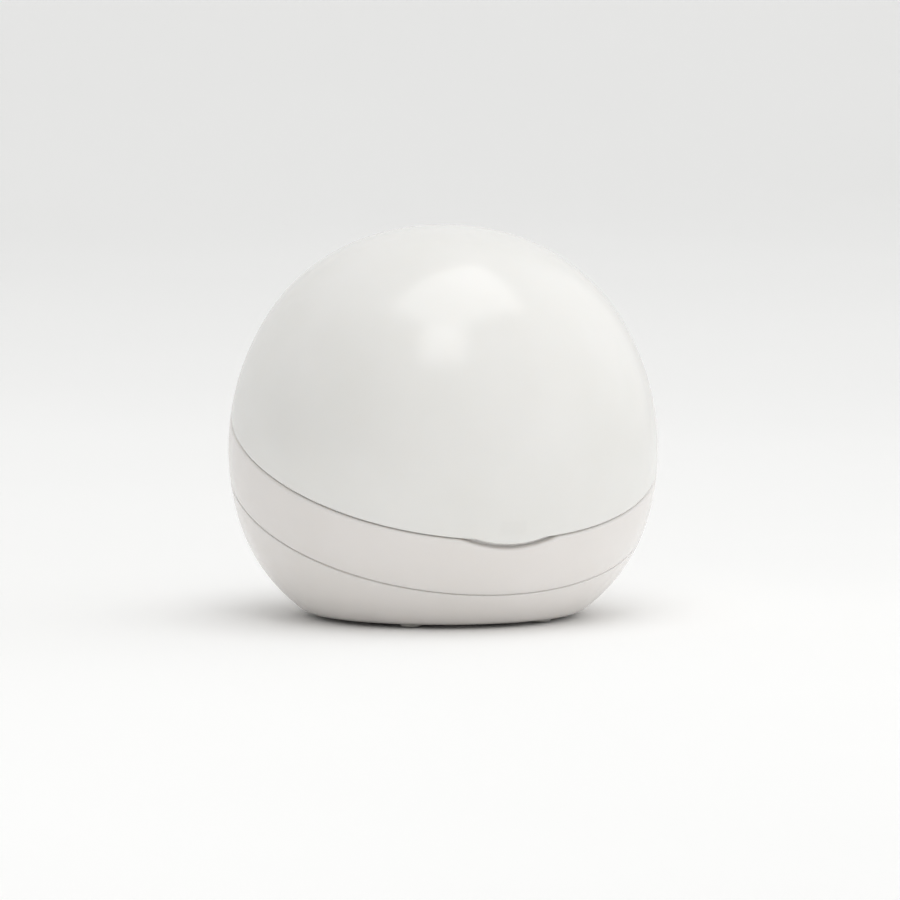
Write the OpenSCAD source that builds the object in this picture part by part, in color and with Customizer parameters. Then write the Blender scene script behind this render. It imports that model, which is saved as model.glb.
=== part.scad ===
// Egg-shaped soother steriliser: a domed lid on a rear hinge, a two-part base cut on tilted planes, a domed
// deck with a round collar over a clear teat cup, a lamp beside the cup, and three cells in the sole.
// Origin: middle of the resting plane. +Z up, the front with the finger lip faces -Y, the hinge is at +Y.

/* [Pod outline] */
// Largest radius of the pod
pod_r = 46; // [45:0.5:47]
// Height of the widest circle above the table
equator_z = 35.6; // [34.6:0.1:36.6]
// Radius of the flank arc, above and below the widest circle
flank_r = 53; // [52:0.5:54]
// Radius of the shoulder arc
shoulder_r = 41.1; // [40.6:0.1:41.6]
// Radius of the heel arc, which turns the flank under
heel_r = 37; // [36.5:0.1:37.2]
// Radius of the edge between the heel and the flat sole
sole_edge_r = 4.6; // [4.2:0.1:5.5]
// Height of the flat sole above the table, which the feet make up
sole_z = 0.6; // [0.4:0.1:1]

/* [Walls and partings] */
// Wall of the lid
lid_wall = 2.2; // [2:0.1:2.4]
// Wall of the base
base_wall = 2.4; // [2.2:0.1:2.5]
// Tilt of the lid's seam, low at the front
seam_tilt = 22.2; // [20:0.1:24]
// Height of the seam's plane on the pod's axis
seam_z0 = 37.6; // [36.6:0.1:38.6]
// Tilt of the parting between belt and bowl
belt_tilt = 23.1; // [22:0.1:24]
// Height of that parting's plane on the pod's axis
belt_z0 = 23.3; // [22.3:0.1:24.3]
// Width of the open line at each parting
parting_gap = 0.3; // [0.2:0.05:0.5]
// Height of the register lip above the seam
lip_h = 2; // [1.5:0.1:2.2]

/* [Finger lip] */
// Half of the finger lip's width
finger_half_w = 7.5; // [6:0.5:9]
// How far the finger lip hangs below the seam
finger_drop = 1.0; // [0.8:0.1:1.2]
// Half of the width of the scoop under it
scoop_half_w = 10.3; // [10:0.1:12]
// Depth of the scoop below the seam
scoop_drop = 1.9; // [1.8:0.1:2.2]

/* [Hinge] */
// Distance of the hinge axis behind the pod's axis
hinge_y = 43; // [42.8:0.1:43.1]
// Radius of the hinge barrel
barrel_r = 2.8; // [2.6:0.1:2.9]
// Length of the lid's knuckle
lid_knuckle_w = 18; // [14:1:20]
// Length of each of the base's knuckles
base_knuckle_w = 5.4; // [4:0.2:6]
// Radius of the hinge pin
pin_r = 1.0; // [0.8:0.1:1.2]

/* [Deck and cup] */
// Radius of the deck's outer dome
deck_dome_r = 120; // [110:5:130]
// Outer radius of the deck
deck_r = 41.6; // [41:0.1:41.8]
// Radius of the step in the dome
step_r = 33.3; // [32:0.1:34]
// Height of the step
step_h = 1.2; // [0.8:0.1:1.6]
// Outer radius of the collar
collar_r = 24.2; // [23.5:0.1:25]
// Inner radius of the collar
collar_bore_r = 20.6; // [20.4:0.1:21]
// Height of the collar's top above the seam
collar_h = 10.2; // [9.5:0.1:11]
// Depth of the teat cup's outside below the seam
cup_depth = 17.5; // [16:0.1:18]

/* [Button] */
// Radius of the power button
button_r = 4.1; // [3.5:0.1:4.3]
// Height of the button's centre
button_z = 39; // [38.8:0.1:39.6]
// Angle of the button round the pod, from +X
button_angle = 150; // [145:1:155]

/* [Cells] */
// Diameter of an AAA cell
cell_d = 10.5; // [10:0.1:10.5]
// Length of its can with the cap
cell_l = 44.5; // [44:0.1:44.5]
// Distance between neighbouring cells
cell_pitch = 11; // [10.8:0.1:11]

/* [Hidden] */
$fn = 96;

white = "#ebe9e4";
liner_white = "#e6e6e2";
steel = "#c4c7ca";
board_green = "#2f6b47";
black = "#2a2b2d";

// Centres of the outline's arcs, height counted from the widest circle. Neighbouring arcs share a tangent in
// the directions below, whose short decimals keep every centre exact, so that the arcs meet without a step.
shoulder_turn = [0.8432, 0.5376];
crown_turn = [0.28, 0.96];
heel_turn = [0.96, -0.28];
flank_c = [pod_r - flank_r, 0];
shoulder_c = flank_c + (flank_r - shoulder_r) * shoulder_turn;
crown_r = shoulder_r + shoulder_c.x / crown_turn.x;
crown_c = [0, shoulder_c.y - (crown_r - shoulder_r) * crown_turn.y];
heel_c = flank_c + (flank_r - heel_r) * heel_turn;
sole_drop = equator_z - sole_z;
edge_y = sole_edge_r - sole_drop;
edge_from = asin((heel_c.y - edge_y) / (heel_r - sole_edge_r));
edge_c = [heel_c.x + (heel_r - sole_edge_r) * cos(edge_from), edge_y];

// Middle of the seam's circle, its front edge and the hinge
seam_y = -0.7;
seam_mid_z = seam_z0 + seam_y * tan(seam_tilt);
seam_front_y = 43.7;
seam_front_z = seam_z0 - seam_front_y * tan(seam_tilt);
hinge_z = seam_z0 + hinge_y * tan(seam_tilt);
lip_outer = base_wall + 0.1;
lip_inner = 3.9;
pin_bore_r = pin_r + 0.05;
knuckle_gap = 0.3;
knuckles_half_w = lid_knuckle_w / 2 + knuckle_gap + base_knuckle_w;
barrel_room = 0.5;

// Deck levels, above the seam
skin = 2;
deck_rim_w = 0.6;
ledge_top_w = -4.5;
ledge_t = 1.5;
ledge_r = 36.8;
skirt_t = 2;
dome_c = deck_rim_w - sqrt(pow(deck_dome_r, 2) - pow(deck_r, 2));
cup_seat_w = 7;
cup_top_r = 18.6;
cup_foot_r = 14;
cup_fillet = 4;
cup_wall = 1.2;

// Screws, posts and feet
post_x = 14.5;
post_y = 20.5;
post_r = 2.6;
boss_r = 2.9;
boss_top_z = 6;
foot_r = 2.5;
foot_recess = 0.3;
foot_play = 0.05;
case_screw_r = 1.1;
case_head_r = 1.9;
case_head_z = 2.5;
screw_play = 0.05;
deck_screw_angles = [40, 120, 240, 320];
deck_screw_at_r = 39.2;
deck_screw_r = 0.9;
deck_boss_r = 2.1;

// Lid switch
switch_angle = 205;
switch_at_r = 42.3;
switch_pin_r = 0.8;
switch_boss_r = 1.9;
switch_guide = [-5.7, 1.6];
switch_pin_top = 2.3;
switch_pin_foot = -7;

// Button and its switch, counted outwards from the pod's axis
button_gap = 0.35;
button_flange_r = 5.2;
button_flange = [42.2, 43.1];
button_stem_from = 42.0;
nub_top = 41.3;
tact_top = 40.6;
switch_board_at = [36.0, 37.6];
switch_board_w = 17;
switch_board_up = [-5.2, 2.6];
switch_posts = [[7, -3.5], [-7, 1]];
tact_w = 5.2;

// Lamp, in the seam's frame
lamp_y = 22.5;
lamp_leg_x = 5.5;
lamp_r = 2;
lamp_foot_w = -22;
holder_top_w = -21;
reflector_y = 19.5;
reflector_r = 9.6;
reflector_t = 0.8;
holder_h = 4.2;

// Control board
board = [32, 1.6, 21];
board_y = 35.4;
board_z = 22;
board_hole_x = 12.5;
board_hole_z = [25, 34];

// Battery bay
cell_z = 8.2;
door_z = [0.9, 2.5];
door_half = [23.35, 16.45];
door_corner_r = 3.2;
door_gap = 0.25;
ear_y = 19.8;
ear_r = 3.1;
ear_t = 1.2;
door_screw_r = 0.9;
door_head_r = 1.7;
door_boss_r = 2;
tray_half = [26.2, 17.5];
tray_wall = [1.2, 0.9];
tray_z = [2.7, 14.9];
plate_t = 0.4;
spring_wire_r = 0.35;
spring_turns = 3;
spring_steps = 14;
spring_sides = 6;

// ---- outline and cutting tools ----

// Slice of a disc between two heights, on the right of the axis
module slice(c, r, low, high) {
    intersection() {
        translate(c) circle(r = r, $fn = 256);
        translate([0, low]) square([2 * pod_r, high - low]);
    }
}

// Rounded to a thousandth, so that slices meet on one height
function thousandth(v) = round(1000 * v) / 1000;

// Half section of the pod, pulled in by inset all round: five tangent arcs, one above another
module outline(inset) {
    heel_low = thousandth(heel_c.y - (heel_r - inset) * sin(edge_from));
    heel_high = thousandth((flank_r - inset) * heel_turn.y);
    shoulder_low = thousandth((flank_r - inset) * shoulder_turn.y);
    crown_low = thousandth(crown_c.y + (crown_r - inset) * crown_turn.y);
    translate([0, equator_z]) {
        slice(crown_c, crown_r - inset, crown_low, pod_r + 10);
        slice(shoulder_c, shoulder_r - inset, shoulder_low, crown_low);
        slice(flank_c, flank_r - inset, heel_high, shoulder_low);
        slice(heel_c, heel_r - inset, heel_low, heel_high);
        slice(edge_c, sole_edge_r - inset, inset - sole_drop, heel_low);
        translate([0, inset - sole_drop]) square([edge_c.x, heel_low + sole_drop - inset]);
    }
}

// A turned body whose first edge lies at the front, where the tilted planes cross it squarely
module turned() {
    rotate([0, 0, -90]) rotate_extrude($fn = 256) children();
}

module pod(inset) {
    turned() outline(inset);
}

module shell(outer, inner) {
    turned() difference() {
        outline(outer);
        outline(inner);
    }
}

module above(z0, tilt) {
    translate([0, 0, z0]) rotate([tilt, 0, 0]) translate([-60, -60, 0]) cube([120, 120, 80]);
}

module below(z0, tilt) {
    translate([0, 0, z0]) rotate([tilt, 0, 0]) translate([-60, -60, -80]) cube([120, 120, 80]);
}

// The seam's own frame: its Z stands square on the seam, its Y climbs to the hinge
module on_seam() {
    translate([0, seam_y, seam_mid_z]) rotate([seam_tilt, 0, 0]) children();
}

// A section drawn in Y and Z, drawn out across X
module across(w) {
    rotate([90, 0, 90]) linear_extrude(w, center = true) children();
}

module barrel(w, r) {
    translate([0, hinge_y, hinge_z]) rotate([0, 90, 0]) cylinder(r = r, h = w, center = true);
}

// Barrel section with an arm that runs from the hinge axis by d
module knuckle_section(r, arm_r, d) {
    n = arm_r * [-d.y, d.x] / norm(d);
    translate([hinge_y, hinge_z]) {
        circle(r = r);
        polygon([n, d + n, d - n, -n]);
    }
}

// Room for a finger: an arc seen from the front, low at the middle of the seam
module front_arc(half_w, drop) {
    r = (half_w * half_w + drop * drop) / (2 * drop);
    translate([0, -pod_r, seam_front_z - drop + r]) rotate([-90, 0, 0])
        cylinder(r = r, h = 12, center = true, $fn = 240);
}

// Cylinder that runs outwards through the button's centre
module at_button(r, from, to) {
    translate([0, 0, button_z]) rotate([0, 90, button_angle]) translate([0, 0, from])
        cylinder(r = r, h = to - from);
}

module four_posts() {
    for (x = [-1, 1], y = [-1, 1]) translate([x * post_x, y * post_y, 0]) children();
}

module deck_screw_places() {
    on_seam() for (a = deck_screw_angles) rotate([0, 0, a]) translate([deck_screw_at_r, 0, 0]) children();
}

module at_lid_switch() {
    on_seam() rotate([0, 0, switch_angle]) translate([switch_at_r, 0, 0]) children();
}

module rounded_plate(half, r, z0, z1) {
    translate([0, 0, z0]) linear_extrude(z1 - z0) union() {
        square([2 * half.x, 2 * (half.y - r)], center = true);
        square([2 * (half.x - r), 2 * half.y], center = true);
        for (x = [-1, 1], y = [-1, 1]) translate([x * (half.x - r), y * (half.y - r)]) circle(r = r);
    }
}

// ---- lid ----

module lid_shell() {
    color(white) difference() {
        union() {
            difference() {
                intersection() {
                    shell(0, lid_wall);
                    above(seam_z0 + parting_gap / 2, seam_tilt);
                }
                barrel(2 * knuckles_half_w + 0.8, barrel_r + barrel_room);
            }
            // finger lip
            intersection() {
                shell(0, 1.3);
                front_arc(finger_half_w, finger_drop);
                on_seam() translate([-finger_half_w, -60, -3]) cube([2 * finger_half_w, 30, 4]);
            }
            // knuckle
            difference() {
                across(lid_knuckle_w) knuckle_section(barrel_r, 2, [-6, 5.3]);
                pod(lid_wall);
            }
        }
        barrel(60, pin_bore_r);
    }
}

module lid_liner() {
    edge_w = lip_h + 0.4;
    flange_h = 1.2;
    color(liner_white) difference() {
        union() {
            intersection() {
                shell(lid_wall + 0.3, lid_wall + 1.1);
                on_seam() translate([-60, -60, edge_w]) cube([120, 120, 80]);
            }
            intersection() {
                shell(lid_wall, lid_wall + 1.1);
                on_seam() translate([-60, -60, edge_w]) cube([120, 120, flange_h]);
            }
        }
        on_seam() translate([-3.7, -60, 0]) cube([7.4, 20, 6]);
    }
}

// Tongue with a rounded nose, on the inside of the lid at the front
module latch_hook() {
    half_w = 3.2;
    color(liner_white) intersection() {
        union() {
            on_seam() translate([-half_w, -46, 0.5]) cube([2 * half_w, 3.4, 4.8]);
            on_seam() translate([-half_w, -43.6, -3.3]) cube([2 * half_w, 1, 4.2]);
            on_seam() translate([0, -42.6, -2.8]) rotate([0, 90, 0])
                cylinder(r = 0.5, h = 2 * half_w, center = true);
        }
        pod(lid_wall);
    }
}

module hinge_pin() {
    color(steel) barrel(2 * knuckles_half_w - 0.6, pin_r);
}

// ---- base casing ----

module belt_shell() {
    color(white) difference() {
        union() {
            difference() {
                belt_walls();
                barrel(2 * knuckles_half_w + 0.8, barrel_r + barrel_room);
            }
            for (side = [-1, 1]) difference() {
                translate([side * (knuckles_half_w - base_knuckle_w / 2), 0, 0])
                    across(base_knuckle_w) knuckle_section(barrel_r, 2.2, [-1.5, -14]);
                pod(base_wall);
            }
        }
        barrel(60, pin_bore_r);
        at_button(button_r + button_gap, 30, 60);
        at_button(button_flange_r + 0.9, 30, 43.1);
        scoop();
        // way for the latch hook through the register lip
        on_seam() translate([-4, -44, -6]) cube([8, 4, 12]);
        deck_screw_places() translate([0, 0, -10]) cylinder(r = deck_screw_r + screw_play, h = 12);
        at_lid_switch() translate([0, 0, -30]) cylinder(r = switch_pin_r + screw_play, h = 60);
    }
}

module belt_walls() {
    seam_low = seam_z0 - parting_gap / 2;
    // outer wall
    intersection() {
        shell(0, base_wall);
        below(seam_low, seam_tilt);
        above(belt_z0 + parting_gap / 2, belt_tilt);
    }
    // register lip, rooted in the wall below the seam
    intersection() {
        shell(lip_outer, lip_inner);
        on_seam() translate([-60, -60, ledge_top_w]) cube([120, 120, lip_h - ledge_top_w]);
    }
    intersection() {
        shell(base_wall - 0.6, lip_inner);
        on_seam() translate([-60, -60, ledge_top_w]) cube([120, 120, -ledge_top_w - 0.4]);
    }
    // spigot into the bowl
    intersection() {
        shell(base_wall - 0.6, lip_inner);
        above(belt_z0 + 0.5, belt_tilt);
        below(belt_z0 + 3, belt_tilt);
    }
    intersection() {
        shell(lip_outer, lip_inner);
        above(belt_z0 - 2, belt_tilt);
        below(belt_z0 + 3, belt_tilt);
    }
    // ledge that the deck rests on, cut away round the switch board
    difference() {
        intersection() {
            pod(base_wall - 0.6);
            on_seam() translate([0, 0, ledge_top_w - ledge_t]) difference() {
                cylinder(r = 50, h = ledge_t);
                translate([0, 0, -1]) cylinder(r = ledge_r, h = ledge_t + 2);
            }
        }
        at_switch_board(switch_board_at[0] - 1, -switch_board_w / 2 - 0.3, switch_board_up[0] - 1)
            cube([switch_board_at[1] - switch_board_at[0] + 1.3, switch_board_w + 0.6, 12]);
    }
    // block that carries the catch leaf
    intersection() {
        pod(base_wall - 0.6);
        on_seam() translate([-3, -47, -11]) cube([6, 47 - 41.75, 5]);
    }
    // guide of the lid switch's pin
    intersection() {
        pod(lip_outer);
        at_lid_switch() translate([0, 0, switch_guide[0]])
            cylinder(r = switch_boss_r, h = switch_guide[1] - switch_guide[0]);
    }
    // posts of the switch board
    intersection() {
        pod(base_wall - 0.6);
        for (p = switch_posts) at_switch_board(switch_board_at[1], p.x, p.y) rotate([0, 90, 0])
            cylinder(r = 1.3, h = 8);
    }
}

module scoop() {
    intersection() {
        shell(-1, 1.6);
        front_arc(scoop_half_w, scoop_drop);
        on_seam() translate([-scoop_half_w, -60, -4]) cube([2 * scoop_half_w, 30, 8]);
    }
}

module bowl_shell() {
    ear_room = door_z[0] + ear_t + 0.15;
    color(white) difference() {
        union() {
            intersection() {
                shell(0, base_wall);
                below(belt_z0 - parting_gap / 2, belt_tilt);
            }
            four_posts() translate([0, 0, sole_z]) cylinder(r = boss_r, h = boss_top_z - sole_z);
            for (side = [-1, 1]) translate([0, side * ear_y, sole_z + 1.8])
                cylinder(r = door_boss_r, h = 5.6);
            // standoffs of the control board
            intersection() {
                pod(base_wall - 0.6);
                board_holes() translate([0, board[1], 0]) rotate([-90, 0, 0]) cylinder(r = 2.2, h = 10);
            }
        }
        rounded_plate(door_half + door_gap * [1, 1], door_corner_r, 0, 4);
        for (side = [-1, 1]) {
            translate([0, side * ear_y, 0]) cylinder(r = ear_r + door_gap, h = ear_room);
            translate([-ear_r - door_gap, side * ear_y * 0.9 - 3, 0])
                cube([2 * (ear_r + door_gap), 6, ear_room]);
            translate([0, side * ear_y, 0]) cylinder(r = door_screw_r + screw_play, h = 8);
        }
        four_posts() {
            cylinder(r = foot_r, h = sole_z + foot_recess);
            cylinder(r = case_head_r + 0.1, h = case_head_z);
            cylinder(r = case_screw_r + screw_play, h = 10);
        }
        board_holes() translate([0, board[1], 0]) rotate([-90, 0, 0]) cylinder(r = 0.85, h = 3);
    }
}

// ---- deck and cup ----

module deck_section() {
    difference() {
        union() {
            intersection() {
                translate([0, dome_c]) circle(r = deck_dome_r, $fn = 720);
                square([deck_r, 20]);
            }
            translate([0, ledge_top_w]) square([deck_r, deck_rim_w - ledge_top_w]);
            intersection() {
                translate([0, dome_c]) circle(r = deck_dome_r + step_h, $fn = 720);
                square([step_r, 20]);
            }
            square([collar_r, collar_h - (collar_r - collar_bore_r) / 2]);
            translate([(collar_r + collar_bore_r) / 2, collar_h - (collar_r - collar_bore_r) / 2])
                circle(r = (collar_r - collar_bore_r) / 2);
        }
        // hollow underneath
        intersection() {
            translate([0, dome_c]) circle(r = deck_dome_r - skin, $fn = 720);
            translate([0, -20]) square([deck_r - skirt_t, 40]);
        }
        // seat of the cup
        translate([0, -1]) square([cup_top_r + 0.2, 20]);
        translate([0, cup_seat_w]) square([collar_bore_r, 20]);
    }
}

module deck() {
    color(liner_white) difference() {
        union() {
            on_seam() turned() deck_section();
            // screw bosses
            intersection() {
                deck_screw_places() translate([0, 0, ledge_top_w + 0.2]) cylinder(r = deck_boss_r, h = 8);
                under_deck_skin();
            }
            // long posts down to the bowl
            intersection() {
                four_posts() translate([0, 0, boss_top_z]) cylinder(r = post_r, h = 50);
                under_deck_skin();
            }
        }
        deck_screw_places() translate([0, 0, -6]) cylinder(r = deck_screw_r + screw_play, h = 5.4);
        four_posts() translate([0, 0, boss_top_z - 1]) cylinder(r = case_screw_r + screw_play, h = 8);
        at_lid_switch() translate([0, 0, -10]) cylinder(r = switch_boss_r + 0.4, h = 20);
        at_button(button_flange_r + 1.1, 34, 43.4);
        // way for the catch leaf
        on_seam() translate([-3.4, -50, -8]) cube([6.8, 9.6, 16]);
    }
}

module under_deck_skin() {
    on_seam() turned() intersection() {
        translate([0, dome_c]) circle(r = deck_dome_r - skin / 2, $fn = 720);
        translate([0, -45]) square([deck_r - 0.2, 90]);
    }
}

module cup_half(inset) {
    foot = -cup_depth + inset;
    polygon([
        [0, foot],
        [cup_foot_r - cup_fillet, foot],
        [cup_foot_r - cup_fillet, -cup_depth + cup_fillet],
        [cup_foot_r - inset, -cup_depth + cup_fillet],
        [cup_top_r - inset, cup_seat_w],
        [cup_top_r - inset, cup_seat_w + 1 + inset],
        [0, cup_seat_w + 1 + inset]
    ]);
    intersection() {
        translate([cup_foot_r - cup_fillet, -cup_depth + cup_fillet]) circle(r = cup_fillet - inset);
        translate([0, foot - 1]) square([cup_foot_r, cup_fillet + 1 - inset]);
    }
}

module teat_cup() {
    color("#dfe9ee", 0.45) on_seam() rotate_extrude() difference() {
        union() {
            cup_half(0);
            translate([0, cup_seat_w]) square([collar_bore_r - 0.3, 1]);
        }
        cup_half(cup_wall);
    }
}

module catch_leaf() {
    color(steel) on_seam() {
        translate([-2.5, -41.75, -10.5]) cube([5, 0.35, 10]);
        intersection() {
            translate([0, -41.75, -1.6]) rotate([0, 90, 0]) cylinder(r = 0.25, h = 5, center = true);
            translate([-2.5, -43, -3]) cube([5, 1.25, 3]);
        }
    }
}

// ---- lamp ----

module uv_lamp() {
    bend_w = -lamp_leg_x;
    color("#e8ecf4", 0.6) on_seam() translate([0, lamp_y, 0]) {
        for (side = [-1, 1]) translate([side * lamp_leg_x, 0, lamp_foot_w])
            cylinder(r = lamp_r, h = bend_w - lamp_foot_w);
        translate([0, 0, bend_w]) rotate([90, 0, 0]) rotate_extrude(angle = 180)
            translate([lamp_leg_x, 0]) circle(r = lamp_r);
    }
}

module lamp_holder() {
    color("#d9d9d4") on_seam() difference() {
        translate([-8.6, 19.2, holder_top_w - holder_h]) cube([17.2, 6.6, holder_h]);
        for (side = [-1, 1]) translate([side * lamp_leg_x, lamp_y, lamp_foot_w])
            cylinder(r = lamp_r + screw_play, h = 3);
    }
}

module lamp_reflector() {
    color("#d7dadd") intersection() {
        on_seam() translate([0, reflector_y, holder_top_w]) difference() {
            cylinder(r = reflector_r, h = 40);
            translate([0, 0, -1]) cylinder(r = reflector_r - reflector_t, h = 42);
            translate([-20, -20, -1]) cube([40, 20, 42]);
        }
        on_seam() rotate_extrude() intersection() {
            translate([0, dome_c]) circle(r = deck_dome_r - skin, $fn = 720);
            translate([0, -45]) square([deck_r - 0.2, 90]);
        }
    }
}

// ---- control board ----

module board_holes() {
    for (x = [-1, 1], z = board_hole_z) translate([x * board_hole_x, board_y, z]) children();
}

module control_board() {
    color(board_green) difference() {
        translate([-board[0] / 2, board_y, board_z]) cube(board);
        board_holes() rotate([-90, 0, 0]) translate([0, 0, -1]) cylinder(r = 1.1, h = 4);
    }
}

// Low inverter transformer: a ferrite frame round a taped winding
module board_transformer() {
    color("#3a3532") translate([-7, board_y - 3.8, 36.4]) difference() {
        cube([14, 3.8, 6.2]);
        translate([2, -1, 1.3]) cube([10, 3, 3.6]);
    }
    color("#d8a83c") translate([-4.9, board_y - 3.6, 37.8]) cube([9.8, 1.8, 3.4]);
}

module board_capacitors() {
    color("#26303f") for (x = [-12.4, 12.4]) translate([x, board_y, 39.8]) rotate([90, 0, 0]) {
        cylinder(r = 2.5, h = 4.6);
        translate([0, 0, 4.6]) cylinder(r = 2.1, h = 0.3);
    }
}

module controller_chip() {
    color(black) translate([-3, board_y - 1.2, 22.6]) cube([6, 1.2, 5]);
    color(steel) for (i = [0:3], side = [-1, 1])
        translate([side * 3.35 - 0.35, board_y - 0.5, 23 + i * 1.2]) cube([0.7, 0.5, 0.5]);
}

module board_screws() {
    color(steel) board_holes() rotate([-90, 0, 0]) {
        translate([0, 0, -1]) cylinder(r = 1.6, h = 1);
        cylinder(r = 0.8, h = 4.2);
    }
}

// ---- button group ----

module at_switch_board(out, along, up) {
    rotate([0, 0, button_angle]) translate([out, along, button_z + up]) children();
}

module switch_board() {
    thick = switch_board_at[1] - switch_board_at[0];
    color(board_green) at_switch_board(switch_board_at[0], -switch_board_w / 2, switch_board_up[0])
        cube([thick, switch_board_w, switch_board_up[1] - switch_board_up[0]]);
}

module tact_switch() {
    color(black) at_switch_board(switch_board_at[1], -tact_w / 2, -tact_w / 2)
        cube([tact_top - switch_board_at[1], tact_w, tact_w]);
    color(steel) at_button(1.2, tact_top, nub_top);
}

module power_button() {
    color("#dcdad5") {
        intersection() {
            at_button(button_r, button_flange[0], 60);
            pod(0.05);
        }
        at_button(button_flange_r, button_flange[0], button_flange[1]);
        at_button(1.5, button_stem_from, button_flange[0]);
    }
}

module status_led() {
    color("#9fd6ff", 0.7) at_switch_board(switch_board_at[1], 4, -1) cube([0.9, 1.2, 1.6]);
}

// ---- lid switch ----

module lid_switch() {
    body_h = 4;
    color(black) difference() {
        at_lid_switch() translate([-4.6, -2.6, ledge_top_w - ledge_t - body_h]) cube([4.8, 5.2, body_h]);
        at_lid_switch() translate([0, 0, switch_pin_foot - 0.2]) cylinder(r = switch_pin_r + 0.3, h = 5);
    }
}

module lid_switch_pin() {
    color("#d9d9d4") at_lid_switch() {
        translate([0, 0, switch_pin_foot])
            cylinder(r = switch_pin_r, h = switch_pin_top - switch_pin_foot - 0.4);
        translate([0, 0, switch_pin_top - 0.4]) cylinder(r1 = switch_pin_r, r2 = switch_pin_r - 0.3, h = 0.4);
    }
}

// ---- battery bay ----

module battery_tray() {
    tray_h = tray_z[1] - tray_z[0];
    color("#d4d4d0") intersection() {
        difference() {
            translate([-tray_half.x, -tray_half.y, tray_z[0]])
                cube([2 * tray_half.x, 2 * tray_half.y, tray_h]);
            translate([tray_wall.x - tray_half.x, tray_wall.y - tray_half.y, tray_z[0] - 1])
                cube([2 * (tray_half.x - tray_wall.x), 2 * (tray_half.y - tray_wall.y), tray_h]);
        }
        pod(base_wall + 0.2);
    }
}

module cells() {
    for (i = [-1:1]) translate([0, i * cell_pitch, cell_z])
        rotate([0, i == 0 ? 90 : -90, 0]) children();
}

module battery_cells() {
    cap_h = 1;
    color("#5c6670") cells() translate([0, 0, -cell_l / 2]) {
        cylinder(r = cell_d / 2, h = cell_l - cap_h);
        translate([0, 0, cell_l - cap_h]) cylinder(r = 1.9, h = cap_h);
    }
}

// Ring of points of the coil at turn angle a
function coil_ring(a, r, z) = [
    for (k = [0:spring_sides - 1])
        let (t = 360 * k / spring_sides, q = r + spring_wire_r * cos(t))
            [q * cos(a), q * sin(a), z + spring_wire_r * sin(t)]
];

module coil(h, r0, r1) {
    n = spring_turns * spring_steps;
    rings = [for (i = [0:n]) coil_ring(360 * i / spring_steps, r0 + (r1 - r0) * i / n, h * i / n)];
    side_faces = [
        for (i = [0:n - 1], k = [0:spring_sides - 1])
            let (m = (k + 1) % spring_sides, a = i * spring_sides, b = a + spring_sides)
                [a + k, a + m, b + m, b + k]
    ];
    ends = [
        [for (k = [0:spring_sides - 1]) spring_sides - 1 - k],
        [for (k = [0:spring_sides - 1]) n * spring_sides + k]
    ];
    polyhedron(points = [for (ring = rings) each ring], faces = concat(side_faces, ends), convexity = 6);
}

module battery_springs() {
    room = tray_half.x - tray_wall.x - plate_t - cell_l / 2;
    color(steel) cells() translate([0, 0, -cell_l / 2 - room + spring_wire_r])
        coil(room - 2 * spring_wire_r, 3.2, 1.8);
}

module battery_plates() {
    at_x = tray_half.x - tray_wall.x - plate_t;
    plate_boss_h = at_x - cell_l / 2;
    color(steel) for (side = [-1, 1]) {
        translate([side * (at_x + plate_t / 2), 0, cell_z]) cube([plate_t, 30, 8], center = true);
        for (i = [-1:1]) if ((i == 0 ? 1 : -1) == side)
            translate([side * (at_x - plate_boss_h), i * cell_pitch, cell_z]) rotate([0, side * 90, 0])
                cylinder(r1 = 1.6, r2 = 2.6, h = plate_boss_h);
    }
}

module battery_door() {
    color(white) difference() {
        union() {
            rounded_plate(door_half, door_corner_r - door_gap, door_z[0], door_z[1]);
            for (side = [-1, 1]) {
                translate([0, side * ear_y, door_z[0]]) cylinder(r = ear_r, h = ear_t);
                translate([-ear_r, side * ear_y * 0.9 - 3, door_z[0]]) cube([2 * ear_r, 5, ear_t]);
            }
        }
        for (side = [-1, 1]) translate([0, side * ear_y, 0]) {
            cylinder(r = door_screw_r + screw_play, h = 4);
            translate([0, 0, door_z[0]]) cylinder(r1 = door_head_r + 0.05, r2 = door_screw_r + 0.05, h = 0.8);
        }
    }
}

module door_screws() {
    color(steel) for (side = [-1, 1]) translate([0, side * ear_y, door_z[0]]) difference() {
        union() {
            cylinder(r1 = door_head_r, r2 = door_screw_r, h = 0.8);
            cylinder(r = door_screw_r, h = 6);
        }
        for (a = [0, 90]) rotate([0, 0, a]) translate([-1, -0.2, -1]) cube([2, 0.4, 1.4]);
    }
}

// ---- fasteners and feet ----

module case_screws() {
    color(steel) four_posts() difference() {
        union() {
            translate([0, 0, case_head_z - 1.3]) cylinder(r = case_head_r, h = 1.3);
            translate([0, 0, case_head_z]) cylinder(r = case_screw_r, h = 9);
        }
        for (a = [0, 90]) rotate([0, 0, a]) translate([-1.1, -0.25, 0]) cube([2.2, 0.5, 1.8]);
    }
}

module deck_screws() {
    color(steel) deck_screw_places() {
        translate([0, 0, ledge_top_w - ledge_t - 1.2]) cylinder(r = 1.7, h = 1.2);
        translate([0, 0, ledge_top_w - ledge_t]) cylinder(r = deck_screw_r, h = 4.6);
    }
}

module foot_pads() {
    color("#c9c7c2") four_posts() {
        translate([0, 0, 0.3]) cylinder(r = foot_r - foot_play, h = sole_z + foot_recess - 0.3);
        cylinder(r1 = foot_r - foot_play - 0.3, r2 = foot_r - foot_play, h = 0.3);
    }
}

lid_shell();
lid_liner();
latch_hook();
hinge_pin();
belt_shell();
bowl_shell();
deck();
teat_cup();
catch_leaf();
uv_lamp();
lamp_holder();
lamp_reflector();
control_board();
board_transformer();
board_capacitors();
controller_chip();
board_screws();
switch_board();
tact_switch();
power_button();
status_led();
lid_switch();
lid_switch_pin();
battery_tray();
battery_cells();
battery_springs();
battery_plates();
battery_door();
door_screws();
case_screws();
deck_screws();
foot_pads();
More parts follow.
